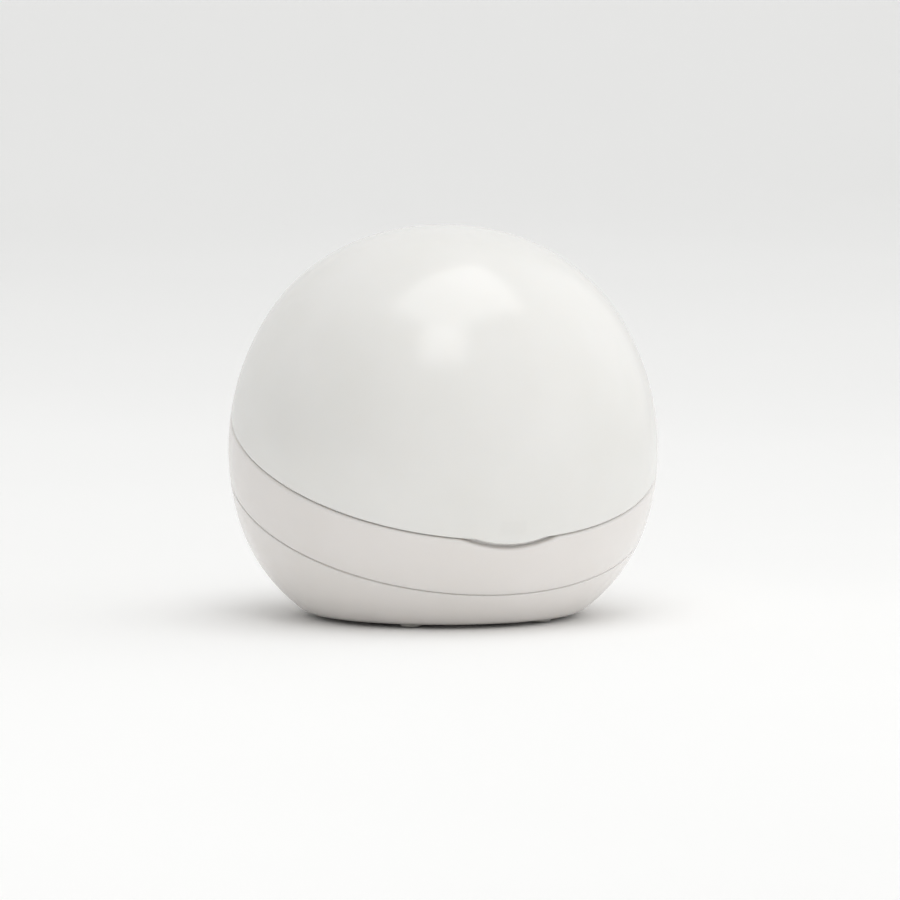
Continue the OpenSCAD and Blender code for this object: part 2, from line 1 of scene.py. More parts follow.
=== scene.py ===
"""Egg-shaped soother steriliser: glossy white lid, belt and bowl with rounded rims, a finger lip over a scoop,
a domed deck with a clear cup, and the works inside. Lengths are written in millimetres and used in metres."""

import math

import bmesh
import bpy
from mathutils import Matrix, Vector


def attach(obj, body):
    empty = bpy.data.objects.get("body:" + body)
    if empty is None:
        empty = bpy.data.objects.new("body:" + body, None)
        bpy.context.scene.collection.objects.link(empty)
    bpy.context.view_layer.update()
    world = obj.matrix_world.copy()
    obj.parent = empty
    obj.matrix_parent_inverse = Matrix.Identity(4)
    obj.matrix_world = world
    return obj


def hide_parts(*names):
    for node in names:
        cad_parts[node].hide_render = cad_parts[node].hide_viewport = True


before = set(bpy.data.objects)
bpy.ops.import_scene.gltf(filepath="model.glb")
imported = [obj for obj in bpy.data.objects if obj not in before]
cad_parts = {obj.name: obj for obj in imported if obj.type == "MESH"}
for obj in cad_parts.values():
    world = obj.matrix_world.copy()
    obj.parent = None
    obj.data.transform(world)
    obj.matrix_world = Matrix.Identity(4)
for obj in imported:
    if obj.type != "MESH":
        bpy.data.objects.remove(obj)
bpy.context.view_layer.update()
bpy.ops.object.select_all(action="DESELECT")

MM = 0.001
TAU = 2 * math.pi

# ---- measures, in millimetres ----

SOLE = 0.6
ARCS = [  # the pod's outline: centre (radius, height), radius, and the angles between which each arc runs
    ((27.8, 5.2), 4.6, -90, -53.1301),
    ((8.36, 31.12), 37.0, -53.1301, -16.2602),
    ((-7.0, 35.6), 53.0, -16.2602, 32.5204),
    ((3.03408, 41.99744), 41.1, 32.5204, 73.7398),
    ((0.0, 31.59488), 51.936, 73.7398, 90),
]
SEAM_TILT = math.radians(22.2)
BELT_TILT = math.radians(23.1)
SEAM_MIDDLE = Vector((0, -0.7, 37.3143))
PARTING_MIDDLE = Vector((0, 4.22, 25.1))
HALF_GAP = 0.1
PARTING_GAP = 0.15
BALL_R = 46
SEGMENTS = 256

LID_WALL = 2.2
BASE_WALL = 2.4
RIM = 0.3
SEAM_RIM = 0.7  # the seam's outer edges are rounder than the rest and catch the light
LIP_REACH, LIP_HALF, LIP_DROP = 5, 7.8, 1.1  # the finger lip of the lid
SCOOP_REACH, SCOOP_HALF, SCOOP_DROP, SCOOP_DEEP = 6, 10.6, 1.9, 1.6  # the scoop below it
LINING_UP = 2.4
LINING_WALL = 1.0

HINGE = Vector((0, 43, 55.148))
BARREL_R = 2.8
PIN_ROOM = 1.06
BARREL_ROOM = 3.3
BARREL_HALF = 15.1

BUTTON_TURN = math.radians(150)
BUTTON_Z = 39
PIN_TURN = math.radians(205)
PIN_AT = 42.3


def at(middle, tilt=0.0):
    """Place of a tilted plane: its Z stands square on the plane, its Y climbs to the hinge."""
    return Matrix.Translation(Vector(middle) * MM) @ Matrix.Rotation(tilt, 4, "X")


SEAM = at(SEAM_MIDDLE, SEAM_TILT)
SEAM_BACK = SEAM.inverted()
PARTING = at(PARTING_MIDDLE, BELT_TILT)
BUTTON_SIDE = at((0, 0, BUTTON_Z)) @ Matrix.Rotation(BUTTON_TURN, 4, "Z")
AT_BUTTON = BUTTON_SIDE @ Matrix.Rotation(math.pi / 2, 4, "Y")
AT_PIN = SEAM @ Matrix.Rotation(PIN_TURN, 4, "Z") @ Matrix.Translation(Vector((PIN_AT * MM, 0, 0)))
ACROSS = Matrix.Translation(HINGE * MM) @ Matrix.Rotation(math.pi / 2, 4, "Y")


# ---- modelling steps ----


def add(kind, name, **settings):
    """Adds a primitive, the start of a piece, and makes it the active object."""
    bpy.ops.object.select_all(action="DESELECT")
    getattr(bpy.ops.mesh, "primitive_" + kind + "_add")(**settings)
    piece = bpy.context.object
    piece.name = piece.data.name = name
    return piece


def select(piece):
    bpy.ops.object.select_all(action="DESELECT")
    piece.select_set(True)
    bpy.context.view_layer.objects.active = piece


def edit(piece):
    select(piece)
    bpy.ops.object.mode_set(mode="EDIT")
    bpy.ops.mesh.select_mode(type="VERT")
    bpy.ops.mesh.select_all(action="SELECT")


def done():
    bpy.ops.object.mode_set(mode="OBJECT")


def pick(piece, kind, test):
    """In edit mode, selects the vertices, edges or faces for which test(middle, part) holds."""
    bpy.ops.mesh.select_mode(type=kind)
    bpy.ops.mesh.select_all(action="DESELECT")
    mesh = bmesh.from_edit_mesh(piece.data)
    for part in {"VERT": mesh.verts, "EDGE": mesh.edges, "FACE": mesh.faces}[kind]:
        corners = [part] if kind == "VERT" else part.verts
        if test(sum((v.co for v in corners), Vector()) / len(corners), part):
            part.select_set(True)
    mesh.select_flush_mode()
    bmesh.update_edit_mesh(piece.data)


def remove(piece, kind, test):
    edit(piece)
    pick(piece, kind, test)
    bpy.ops.mesh.delete(type=kind)
    done()


def outwards(piece):
    edit(piece)
    bpy.ops.mesh.remove_doubles(threshold=0.002 * MM)
    bpy.ops.mesh.normals_make_consistent(inside=False)
    done()


def finish_with(piece, kind, **settings):
    """Adds a modifier with its settings and applies it."""
    select(piece)
    modifier = piece.modifiers.new(kind.title(), kind)
    for name, value in settings.items():
        setattr(modifier, name, value)
    bpy.ops.object.modifier_apply(modifier=modifier.name)


def settle(piece, place=None):
    """Moves the piece to its place and leaves its object at the origin."""
    if place is not None:
        piece.matrix_world = place
    select(piece)
    bpy.ops.object.transform_apply(location=True, rotation=True, scale=True)


def soften(piece, width):
    """Rounds the edges sharper than 50 degrees."""
    finish_with(
        piece, "BEVEL", width=width * MM, segments=4, limit_method="ANGLE",
        angle_limit=math.radians(50), harden_normals=True,
    )


def twin(piece, name):
    """A copy with its own mesh."""
    other = piece.copy()
    other.data = piece.data.copy()
    other.name = other.data.name = name
    bpy.context.collection.objects.link(other)
    return other


def turned(name, outline, steps=128, closed=True, place=None):
    """A turned piece: a vertex is drawn out along the outline (radius, height), and the line is swept round."""
    piece = add("plane", name, size=MM)
    points = [Vector((r, 0, z)) * MM for r, z in outline]
    edit(piece)
    bpy.ops.mesh.merge(type="CENTER")
    bpy.ops.transform.translate(value=points[0])
    for here, there in zip(points, points[1:] + points[:1] if closed else points[1:]):
        bpy.ops.mesh.extrude_vertices_move(TRANSFORM_OT_translate={"value": there - here})
    done()
    finish_with(
        piece, "SCREW", angle=TAU, steps=steps, render_steps=steps, use_merge_vertices=True,
        merge_threshold=0.001 * MM, use_smooth_shade=True,
    )
    outwards(piece)
    if place is not None:
        settle(piece, place)
    return piece


def eased(corners, radii, steps=5):
    """Corner points of an outline, each rounded by its radius."""
    points = []
    for i, radius in enumerate(radii):
        before, here, after = (Vector(corners[(i + k) % len(corners)]) for k in (-1, 0, 1))
        if radius == 0:
            points.append(tuple(here))
            continue
        into, out = (before - here).normalized(), (after - here).normalized()
        half = into.angle(out) / 2
        reach = radius / math.tan(half)
        middle = here + (into + out).normalized() * radius / math.sin(half)
        start, end = here + into * reach - middle, here + out * reach - middle
        turn = math.atan2(start.x * end.y - start.y * end.x, start.dot(end))
        for k in range(steps + 1):
            c, s = math.cos(turn * k / steps), math.sin(turn * k / steps)
            points.append(tuple(middle + Vector((start.x * c - start.y * s, start.x * s + start.y * c))))
    return points


def cut(piece, cutter, operation="DIFFERENCE"):
    finish_with(piece, "BOOLEAN", operation=operation, object=cutter, solver="EXACT")
    bpy.data.objects.remove(cutter)


def block(name, low, high, place=None):
    """A box between two corners."""
    low, high = Vector(low), Vector(high)
    piece = add("cube", name, size=1, location=(low + high) / 2 * MM, scale=(high - low) * MM)
    settle(piece)
    if place is not None:
        settle(piece, place)
    return piece


def rod(name, radius, low, high, place, vertices=64):
    """A straight round bar along the place's Z."""
    piece = add(
        "cylinder", name, vertices=vertices, radius=radius * MM, depth=(high - low) * MM,
        location=(0, 0, (low + high) / 2 * MM),
    )
    settle(piece)
    settle(piece, place)
    return piece


# ---- the pod's form and its skins ----


def pod_outline(inset, spacing=0.6):
    """Points (radius, height) along the pod's outline, from the sole's middle to the crown."""
    points = [(0.0, SOLE + inset), (14.0, SOLE + inset)]
    for (cx, cz), radius, start, end in ARCS:
        r = radius - inset
        count = max(3, round(math.radians(end - start) * r / spacing))
        for i in range(count + 1):
            turn = math.radians(start + (end - start) * i / count)
            points.append((cx + r * math.cos(turn), cz + r * math.sin(turn)))
    points = [p for p, last in zip(points, [(-9, -9)] + points) if math.dist(p, last) > 0.01]
    return points[:-1] + [(0.0, points[-1][1])]


def wrap(piece, form):
    """Draws each vertex onto the pod's surface, along its own normal."""
    finish_with(
        piece, "SHRINKWRAP", target=form, wrap_method="PROJECT", use_negative_direction=True,
        use_positive_direction=True, project_limit=40 * MM,
    )


def wall(piece, thickness, rim=RIM, outer=None, low=-99, **how):
    """Gives an open skin its wall, inwards, and rounds its rims; the outer edge of one above low may be rounder."""
    count = len(piece.data.vertices)
    finish_with(piece, "SOLIDIFY", thickness=thickness * MM, offset=-1, use_even_offset=True, **how)
    if outer:
        edit(piece)
        pick(
            piece, "EDGE",
            lambda middle, part: all(v.index < count for v in part.verts)
            and any(v.index >= count for face in part.link_faces for v in face.verts)
            and (SEAM_BACK @ middle).z > low * MM,
        )
        bpy.ops.mesh.bevel(offset=outer * MM, segments=6, affect="EDGES", harden_normals=True)
        done()
    soften(piece, rim)


def pull_in(piece, inset):
    """Moves a skin inwards along its normals."""
    edit(piece)
    bpy.ops.transform.shrink_fatten(value=-inset * MM, use_even_offset=True)
    done()


def dip_rim(piece, level, reach, half_width, depth):
    """Lowers the rim at the front along a shallow arc, and the rows next to it by less and less."""
    for vertex in piece.data.vertices:
        share = abs(vertex.co.x) / (half_width * MM)
        near = 1 - abs(vertex.co.z / MM - level) / reach
        if vertex.co.y < 0 and share < 1 and near > 0:
            vertex.co.z -= depth * MM * (1 - share * share) * near


def dome(name, ball, place, form, turn=0.0, lip=None):
    """Half of the pod's skin, with rings parallel to the plane of its rim."""
    piece = twin(ball, name)
    if lip:
        dip_rim(piece, 0, *lip)
    settle(piece, place @ Matrix.Rotation(turn, 4, "X"))
    wrap(piece, form)
    return piece


def band(name, low, high, rows, form, place=SEAM, lean=0.0, dip=None):
    """A belt of the pod's skin between two heights above its plane; its lower rim may lean."""
    piece = add(
        "cylinder", name, vertices=SEGMENTS, radius=45 * MM, depth=(high - low) * MM,
        end_fill_type="NOTHING", location=(0, 0, (high + low) / 2 * MM),
    )
    settle(piece)
    for vertex in piece.data.vertices:
        if vertex.co.z < (high + low) / 2 * MM:
            vertex.co.z += vertex.co.y * math.tan(lean)
    edit(piece)
    pick(piece, "EDGE", lambda middle, part: abs(part.verts[0].co.z - part.verts[1].co.z) > 0.3 * (high - low) * MM)
    bpy.ops.mesh.subdivide(number_cuts=rows)
    done()
    if dip:
        dip_rim(piece, high, *dip)
    select(piece)
    bpy.ops.object.shade_smooth()
    settle(piece, place)
    wrap(piece, form)
    return piece


pod_form = turned("pod_form", pod_outline(0), steps=SEGMENTS, closed=False)
ball = add("uv_sphere", "ball", segments=SEGMENTS, ring_count=SEGMENTS // 2, radius=BALL_R * MM)
remove(ball, "VERT", lambda middle, part: middle.z < -0.01 * MM)
bpy.ops.object.shade_smooth()

lid_skin = dome(
    "lid_skin", ball, at(SEAM_MIDDLE + Vector((0, 0, HALF_GAP)), SEAM_TILT), pod_form,
    lip=(LIP_REACH, LIP_HALF, LIP_DROP),
)
# the lip has half the wall, so that it clears the scoop's back
lip_wall = lid_skin.vertex_groups.new(name="lip_wall")
for vertex in lid_skin.data.vertices:
    own = SEAM_BACK @ vertex.co
    at_lip = own.y < 0 and own.z < 0.4 * MM and abs(own.x) < (LIP_HALF + 0.6) * MM
    lip_wall.add([vertex.index], 0.5 if at_lip else 1.0, "REPLACE")
wall(lid_skin, LID_WALL, outer=SEAM_RIM, vertex_group="lip_wall")

belt_skin = band(
    "belt_skin", -12.99, -HALF_GAP, 11, pod_form, lean=BELT_TILT - SEAM_TILT,
    dip=(SCOOP_REACH, SCOOP_HALF, SCOOP_DROP),
)
wall(belt_skin, BASE_WALL, outer=SEAM_RIM, low=-6)

bowl_skin = dome(
    "bowl_skin", ball, at(PARTING_MIDDLE - Vector((0, 0, PARTING_GAP)), BELT_TILT), pod_form, turn=math.pi
)
wall(bowl_skin, BASE_WALL)

scoop_back = band("scoop_back", -4.4, -HALF_GAP - 0.1, 3, pod_form)
remove(scoop_back, "VERT", lambda middle, part: abs(middle.x) > (SCOOP_HALF + 1.2) * MM or middle.y > 0)
pull_in(scoop_back, SCOOP_DEEP)
wall(scoop_back, 0.8, rim=0.2)

register_ring = band("register_ring", -4.45, 2.0, 6, pod_form)
remove(register_ring, "VERT", lambda middle, part: abs(middle.x) < 4.1 * MM and middle.y < 0)
pull_in(register_ring, BASE_WALL)
wall(register_ring, 1.5)

bowl_spigot = band("bowl_spigot", -1.8, 2.7, 3, pod_form, place=PARTING)
pull_in(bowl_spigot, BASE_WALL + 0.1)
wall(bowl_spigot, 1.4)

lining_middle = SEAM_MIDDLE + Vector((0, 0, LINING_UP / math.cos(SEAM_TILT)))
lid_lining = dome("lid_lining", ball, at(lining_middle, SEAM_TILT), pod_form)
pull_in(lid_lining, LID_WALL + 0.05)
wall(lid_lining, LINING_WALL, rim=0.25)
cut(lid_lining, block("hook_room", (-3.7, -60, 0), (3.7, -38, 6), SEAM))

# ---- hinge ----


for skin in (lid_skin, belt_skin, register_ring):
    cut(skin, rod("barrel_room", BARREL_ROOM, -BARREL_HALF, BARREL_HALF, ACROSS, vertices=96))


def knuckle(name, from_x, to_x, arm, arm_half, hollow):
    """A barrel on the hinge's axis with an arm (dy, dz) into the wall, cut clear of the hollow inside."""
    outline = eased(
        [(PIN_ROOM, from_x), (BARREL_R, from_x), (BARREL_R, to_x), (PIN_ROOM, to_x)], [0.15, 0.4, 0.4, 0.15]
    )
    piece = turned(name, outline, steps=96, place=ACROSS)
    length = math.hypot(*arm)
    web = block("web", (from_x + 0.1, -arm_half, 0), (to_x - 0.1, arm_half, length))
    soften(web, 0.4)
    settle(web, Matrix.Translation(HINGE * MM) @ Matrix.Rotation(-math.atan2(arm[0], arm[1]), 4, "X"))
    cut(piece, web, "UNION")
    cut(piece, rod("bore", PIN_ROOM, -20, 20, ACROSS, vertices=96))
    cut(piece, turned("hollow", pod_outline(hollow, 1.2), steps=SEGMENTS, closed=False))
    return piece


lid_knuckle = knuckle("lid_knuckle", -9, 9, (-6, 5.3), 2.0, LID_WALL - 0.3)
base_knuckle_right = knuckle("base_knuckle_right", 9.3, 14.7, (-1.5, -14), 2.2, BASE_WALL - 0.3)
base_knuckle_left = twin(base_knuckle_right, "base_knuckle_left")
edit(base_knuckle_left)
bpy.ops.transform.mirror(orient_type="GLOBAL", constraint_axis=(True, False, False), center_override=(0, 0, 0))
done()
outwards(base_knuckle_left)

# ---- deck, cup and the supports below ----

DECK_R = 41.6
DECK_FOOT = -4.5
DECK_WALL = 2
SKIRT_R = DECK_R - DECK_WALL
DOME_R = 120
DOME_LOW = 0.6 - math.sqrt(DOME_R**2 - DECK_R**2)
STEP_R = 33.3
STEP_UP = 1.2
COLLAR_R = 24.2
SEAT_R = 20.6
SEAT_W = 7
COLLAR_TOP = 10.2
COLLAR_ROUND = 1.78  # a hair less than half the collar's wall
CUP_HOLE = 18.8


def dome_height(r, extra=0.0):
    return DOME_LOW + math.sqrt((DOME_R + extra) ** 2 - r * r)


def dome_line(from_r, to_r, extra=0.0, count=6):
    """Points inside a stretch of the deck's dome."""
    steps = [from_r + (to_r - from_r) * (k + 1) / (count + 1) for k in range(count)]
    return [((r, dome_height(r, extra)), 0) for r in steps]


deck_corners = (
    [((DECK_R, DECK_FOOT), 0.3), ((DECK_R, dome_height(DECK_R)), 0.5)]
    + dome_line(DECK_R - 1, STEP_R + 1)
    + [((STEP_R + 0.15, dome_height(STEP_R)), 0.3), ((STEP_R - 0.15, dome_height(STEP_R, STEP_UP)), 0.45)]
    + dome_line(STEP_R - 1, COLLAR_R + 1.6, STEP_UP)
    + [
        ((COLLAR_R, dome_height(COLLAR_R, STEP_UP)), 1.1),
        ((COLLAR_R, COLLAR_TOP), COLLAR_ROUND),
        ((SEAT_R, COLLAR_TOP), COLLAR_ROUND),
        ((SEAT_R, SEAT_W), 0.2),
        ((CUP_HOLE, SEAT_W), 0.3),
        ((CUP_HOLE, dome_height(CUP_HOLE, -DECK_WALL)), 0.2),
    ]
    + dome_line(CUP_HOLE + 1, SKIRT_R - 1, -DECK_WALL)
    + [((SKIRT_R, dome_height(SKIRT_R, -DECK_WALL)), 0.5), ((SKIRT_R, DECK_FOOT), 0.3)]
)
deck_plate = turned("deck_plate", eased(*zip(*deck_corners), 6), steps=192, place=SEAM)
cut(deck_plate, block("leaf_way", (-3.4, -50, -8), (3.4, -40.4, 8), SEAM))
cut(deck_plate, rod("pin_way", 2.3, -10, 10, AT_PIN))
cut(deck_plate, rod("button_way", 6.3, 34, 43.4, AT_BUTTON))
cut(register_ring, rod("pin_way", 1.85, -8, 8, AT_PIN))
cut(register_ring, rod("button_way", 6.1, 30, 44, AT_BUTTON))

deck_ledge = turned(
    "deck_ledge", eased([(36.8, -6), (41.8, -6), (41.8, DECK_FOOT), (36.8, DECK_FOOT)], [0.3, 0, 0, 0.3]), place=SEAM
)
cut(deck_ledge, rod("button_way", 6.1, 30, 44, AT_BUTTON))
cut(deck_ledge, block("board_room", (35, -8.8, -6.2), (37.9, 8.8, 5.8), BUTTON_SIDE))

pin_guide = turned(
    "pin_guide", eased([(0.86, -5.7), (1.9, -5.7), (1.9, 1.6), (0.86, 1.6)], [0.1, 0.2, 0.3, 0.2]), 48, place=AT_PIN
)

CUP_TOP_R = 18.6
CUP_FOOT_R = 14
CUP_FOOT = -17.5
CUP_WALL = 1.2
CUP_BEND = 4.2
CUP_FLANGE_R = SEAT_R - 0.3
CUP_RIM = SEAT_W + 1
cup_corners = [
    ((0, CUP_FOOT), 0),
    ((CUP_FOOT_R, CUP_FOOT), 4),
    ((CUP_FOOT_R, CUP_FOOT + CUP_BEND), 0),
    ((CUP_TOP_R, SEAT_W), 0.2),
    ((CUP_FLANGE_R, SEAT_W), 0.25),
    ((CUP_FLANGE_R, CUP_RIM), 0.35),
    ((CUP_TOP_R - CUP_WALL, CUP_RIM), 0.5),
    ((CUP_FOOT_R - CUP_WALL, CUP_FOOT + CUP_BEND), 0),
    ((CUP_FOOT_R - CUP_WALL, CUP_FOOT + CUP_WALL), 2.8),
    ((0, CUP_FOOT + CUP_WALL), 0),
]
clear_well = turned("clear_well", eased(*zip(*cup_corners), 8), closed=False, place=SEAM)

# ---- button ----

BUTTON_R = 4.1
BUTTON_TOP = 45.82
BUTTON_CROWN = 0.16
cap = [((BUTTON_R, BUTTON_TOP - BUTTON_CROWN), 0.45)]
cap += [((r, BUTTON_TOP - BUTTON_CROWN * (r / BUTTON_R) ** 2), 0) for r in (3.2, 2.2, 1.1)]
button_corners = (
    [((0, 42), 0), ((1.5, 42), 0.1), ((1.5, 42.2), 0)]
    + [((5.2, 42.2), 0.15), ((5.2, 43.1), 0.15), ((BUTTON_R, 43.1), 0.1)]
    + cap
    + [((0, BUTTON_TOP), 0)]
)
side_button = turned("side_button", eased(*zip(*button_corners), 6), 96, closed=False, place=AT_BUTTON)
hole = [(0, 30), (4.45, 30), (4.45, 45.15), (5.6, 46.3), (5.6, 52), (0, 52)]
cut(belt_skin, turned("button_hole", hole, 96, closed=False, place=AT_BUTTON))

# ---- openings in the sole ----

DOOR_HALF = (23.6, 16.7)
DOOR_CORNER = 3.2
EAR_Y = 19.8
FOOT_X, FOOT_Y = 14.5, 20.5
door_way = block("door_way", (-DOOR_HALF[0], -DOOR_HALF[1], -1), (*DOOR_HALF, 4))
edit(door_way)
pick(door_way, "EDGE", lambda middle, part: abs(part.verts[0].co.z - part.verts[1].co.z) > 1 * MM)
bpy.ops.mesh.bevel(offset=DOOR_CORNER * MM, segments=8, affect="EDGES")
done()
for side in (-1, 1):
    ear = at((0, side * EAR_Y, 0))
    cut(door_way, rod("ear_way", 3.35, -1.2, 2.25, ear), "UNION")
    cut(door_way, block("ear_neck", (-3.3, side * 17.8 - 3, -1.4), (3.3, side * 17.8 + 3, 2.24)), "UNION")
    cut(door_way, rod("ear_screw", 0.95, -0.5, 8, ear, vertices=32), "UNION")
foot_room = [(0, -1), (2.5, -1), (2.5, 0.9), (2.0, 0.9), (2.0, 2.5), (1.15, 2.5), (1.15, 8), (0, 8)]
for x in (-FOOT_X, FOOT_X):
    for y in (-FOOT_Y, FOOT_Y):
        cut(door_way, turned("foot_room", foot_room, 48, closed=False, place=at((x, y, 0))), "UNION")
cut(bowl_skin, door_way)

for helper in (pod_form, ball):
    bpy.data.objects.remove(helper)

# ---- finishes ----


def tint(code):
    """sRGB hex colour as linear light."""

    def linear(v):
        return v / 12.92 if v <= 0.04045 else ((v + 0.055) / 1.055) ** 2.4

    return tuple(linear(int(code[i : i + 2], 16) / 255) for i in (1, 3, 5)) + (1.0,)


def put(tree, kind, settings=(), **inputs):
    """Adds a node with its settings; an input takes a value or another node's output."""
    made = tree.nodes.new("ShaderNode" + kind)
    for name, value in dict(settings).items():
        setattr(made, name, value)
    for name, value in inputs.items():
        socket = made.inputs[name.replace("_", " ")]
        if isinstance(value, bpy.types.NodeSocket):
            tree.links.new(value, socket)
        else:
            socket.default_value = value
    return made


def finish(name, dark, light, cloud_mm, grain_mm, grain_depth, roughness, spread, stretch=(1, 1, 1), **shader):
    """A material with clouds of colour between two tones, a grain that stands proud, and roughness that varies."""
    material = bpy.data.materials.new(name)
    material.use_nodes = True
    tree = material.node_tree
    tree.nodes.clear()
    where = put(tree, "TexCoord").outputs["Object"]
    laid = put(tree, "Mapping", Vector=where, Scale=stretch).outputs["Vector"]
    cloud = put(tree, "TexNoise", Vector=laid, Scale=1 / (cloud_mm * MM), Detail=3.0, Roughness=0.5)
    tone = put(tree, "ValToRGB", Fac=cloud.outputs["Fac"])
    tone.color_ramp.elements[0].position, tone.color_ramp.elements[1].position = 0.3, 0.7
    tone.color_ramp.elements[0].color, tone.color_ramp.elements[1].color = tint(dark), tint(light)
    grain = put(tree, "TexNoise", Vector=laid, Scale=1 / (grain_mm * MM), Detail=2.0, Roughness=0.5)
    bump = put(tree, "Bump", Strength=1.0, Distance=grain_depth * MM, Height=grain.outputs["Fac"])
    sheen = put(
        tree, "MapRange", Value=cloud.outputs["Fac"], From_Min=0.3, From_Max=0.7,
        To_Min=roughness - spread, To_Max=roughness + spread,
    )
    body = put(
        tree, "BsdfPrincipled", Base_Color=tone.outputs["Color"], Roughness=sheen.outputs["Result"],
        Normal=bump.outputs["Normal"], **shader,
    )
    put(tree, "OutputMaterial", Surface=body.outputs["BSDF"])
    return material


# injection-moulded ABS from a polished tool: warm white, soft reflections that swim a little over the flow of
# the plastic, and light that goes a little way in
ABS = dict(
    IOR=1.53, Subsurface_Weight=0.35, Subsurface_Radius=(1.0, 0.93, 0.86), Subsurface_Scale=2.2 * MM,
    Coat_Weight=0.25, Coat_Roughness=0.12,
)
lid_abs = finish("glossy_moulded_abs", "#e9e8e4", "#edece9", 26, 7, 0.006, 0.22, 0.03, **ABS)
# the same ABS in the base's batch: the eye sees it a shade pinker than the lid
base_abs = finish("glossy_moulded_abs_warm", "#e7e3df", "#ebe7e4", 26, 7, 0.006, 0.22, 0.03, **ABS)


def paint_shade_through(material, low, high, soft, depth):
    """Paints shade into a skin's colour: darkens it a little where a part touches it from behind, as that part's
    shadow seen through the thin wall, between two corners in the seam's frame.
    """
    tree = material.node_tree
    body = next(n for n in tree.nodes if n.type == "BSDF_PRINCIPLED")
    tone = body.inputs["Base Color"].links[0].from_socket
    where = put(tree, "TexCoord").outputs["Object"]
    own = put(
        tree, "Mapping", {"vector_type": "TEXTURE"},
        Vector=where, Location=SEAM_MIDDLE * MM, Rotation=(SEAM_TILT, 0, 0),
    ).outputs["Vector"]
    axes = put(tree, "SeparateXYZ", Vector=own).outputs
    shade_mask = depth
    for axis, a, b in zip("XYZ", low, high):
        for edge, inner in ((a, a + soft), (b, b - soft)):
            shade_mask = put(
                tree, "MapRange", {"interpolation_type": "SMOOTHSTEP"}, Value=axes[axis], From_Min=edge * MM,
                From_Max=inner * MM, To_Min=0.0, To_Max=shade_mask,
            ).outputs["Result"]
    fade = put(tree, "MapRange", Value=shade_mask, To_Min=1.0, To_Max=0.0).outputs["Result"]
    # the painted shade: the skin's colour is darkened inside the mask
    shade = put(tree, "HueSaturation", Color=tone, Value=fade)
    tree.links.new(shade.outputs["Color"], body.inputs["Base Color"])


# painted shade: the lid's colour is darkened in a faint patch over the finger lip where the hook touches the lid
# from behind, standing in for the hook's shadow seen through the wall
paint_shade_through(lid_abs, (-3.4, -50, 0.9), (3.4, -30, 4.9), 1.0, 0.02)

# moulded polypropylene with a fine spark-eroded skin: whiter and softer than the casing
satin_pp = finish(
    "satin_moulded_polypropylene", "#e6e7e5", "#ecedeb", 18, 0.35, 0.006, 0.34, 0.05,
    IOR=1.49, Subsurface_Weight=0.15, Subsurface_Radius=(1.0, 0.95, 0.9), Subsurface_Scale=1.5 * MM,
)
# polished polycarbonate: clear with the faintest blue, so its rim and foot catch bright lines
clear_pc = finish(
    "clear_polycarbonate", "#eaf1f4", "#f2f7f9", 15, 6, 0.004, 0.05, 0.02, IOR=1.585, Transmission_Weight=0.7,
)
# button of the same ABS as the casing, a shade greyer, with an eroded skin that feels dry
button_abs = finish(
    "eroded_abs_button", "#dddbd7", "#e2e0dc", 8, 0.25, 0.01, 0.38, 0.05, IOR=1.53,
)
# drawn quartz tube: nearly clear, with a milky cast
lamp_quartz = finish(
    "drawn_quartz_tube", "#e3e8f0", "#edf1f6", 6, 1.5, 0.003, 0.09, 0.03, IOR=1.458, Transmission_Weight=0.75,
)
# glass-filled nylon: matt, slightly mottled grey-white
holder_nylon = finish("glass_filled_nylon", "#cfcfc9", "#dcdcd6", 3, 0.3, 0.015, 0.5, 0.08, IOR=1.53)
# rolled and bent aluminium, mirror-like with fine lines along the roll
bright_aluminium = finish(
    "rolled_bright_aluminium", "#d5d8dc", "#e4e6e8", 9, 0.12, 0.002, 0.16, 0.05, stretch=(1, 1, 0.05), Metallic=1.0,
)
# turned and plated steel: grey, with fine rings of machining
plated_steel = finish(
    "nickel_plated_steel", "#b5b7ba", "#c9cbcd", 2.5, 0.1, 0.003, 0.26, 0.07, stretch=(0.2, 1, 1), Metallic=1.0,
)
# spring steel, rolled: a little darker and bluer
spring_steel = finish(
    "rolled_spring_steel", "#a2a5a9", "#b7babd", 3, 0.15, 0.003, 0.3, 0.07, stretch=(1, 0.1, 1), Metallic=1.0,
)
# zinc-plated screws: greyer and duller than the pin
screw_steel = finish("zinc_plated_screw_steel", "#9b9da0", "#b4b6b8", 1.5, 0.12, 0.004, 0.33, 0.08, Metallic=1.0)
# epoxy-glass laminate under solder mask: deep green that shows the copper below as paler clouds
laminate = finish("solder_masked_laminate", "#1f4d33", "#2f6b47", 1.6, 0.5, 0.012, 0.32, 0.06, IOR=1.55)
# sintered ferrite: near-black, dry and grainy
ferrite = finish("sintered_ferrite", "#2b2928", "#3b3734", 1.2, 0.15, 0.02, 0.62, 0.1, IOR=1.8)
# polyester winding tape: amber, thin and shiny
tape = finish("polyester_winding_tape", "#c8952f", "#dcae48", 2.5, 0.8, 0.02, 0.24, 0.05, IOR=1.6)
# shrunk vinyl sleeve of a capacitor: dark blue with a soft shine
sleeve = finish("shrunk_vinyl_sleeve", "#1d2836", "#2a3647", 2.5, 0.6, 0.01, 0.3, 0.06, IOR=1.52)
# filled epoxy of a chip's body: dull black
chip_resin = finish("moulded_epoxy_resin", "#1e1f20", "#2b2c2d", 1.2, 0.1, 0.008, 0.45, 0.08, IOR=1.55)
# tinted epoxy lens: pale blue and half clear
lens_resin = finish(
    "tinted_epoxy_lens", "#bfe3fb", "#d4edfd", 1, 0.4, 0.002, 0.12, 0.03, IOR=1.55, Transmission_Weight=0.6
)
# lacquered steel can of a dry cell: slate grey with a metal glint under the lacquer
cell_can = finish("lacquered_cell_can", "#4d565f", "#66717b", 12, 0.3, 0.003, 0.28, 0.05, Metallic=0.8)
# cast silicone rubber: matt grey-white that grips
rubber = finish("cast_silicone_rubber", "#bdbbb6", "#c9c7c2", 2, 0.2, 0.01, 0.62, 0.06, IOR=1.41)


